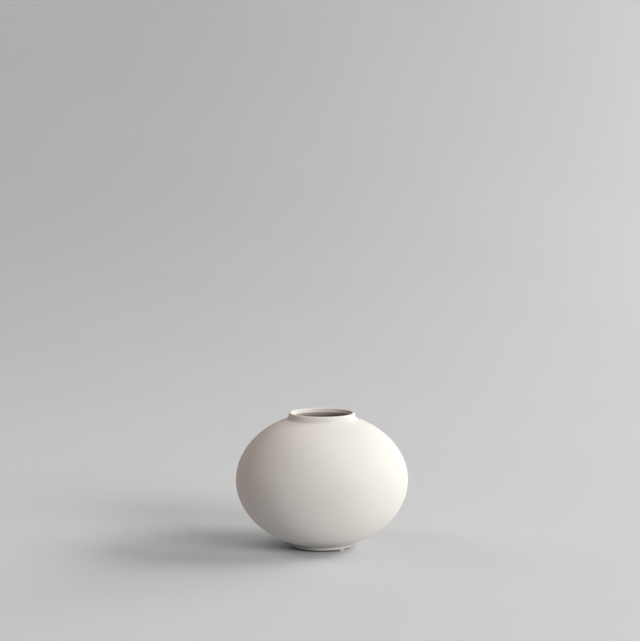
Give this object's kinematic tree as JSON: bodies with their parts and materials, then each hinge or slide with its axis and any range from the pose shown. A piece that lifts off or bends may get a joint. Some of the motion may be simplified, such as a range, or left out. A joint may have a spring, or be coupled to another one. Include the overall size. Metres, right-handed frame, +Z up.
{
  "type": "vase",
  "caption": "Round matt white ceramic vase with a short collar neck, rolled lip and low foot ring; holds cut flowers or stands empty for display.",
  "frame": {"origin": "on the table under the vase, on its axis of revolution", "axes": "+Z up along the axis towards the mouth, +X to the viewer's right and -Y towards the viewer in the pictured view"},
  "size_m": [0.16, 0.16, 0.1257],
  "materials": {
    "matt_ceramic": "matt bone-white engobe, very fine grain",
    "foot_ceramic": "matt, bare clay where it stands",
    "lining_glaze": "satin watertight glaze",
    "soft_dot": "clear soft rubber"
  },
  "bodies": {
    "root": {"lower_bowl": "matt_ceramic", "upper_bowl": "matt_ceramic", "neck_collar": "matt_ceramic", "foot_ring": "foot_ceramic", "glaze_lining": "lining_glaze", "foot_pad_1": "soft_dot", "foot_pad_2": "soft_dot", "foot_pad_3": "soft_dot"}
  },
  "joints": []
}
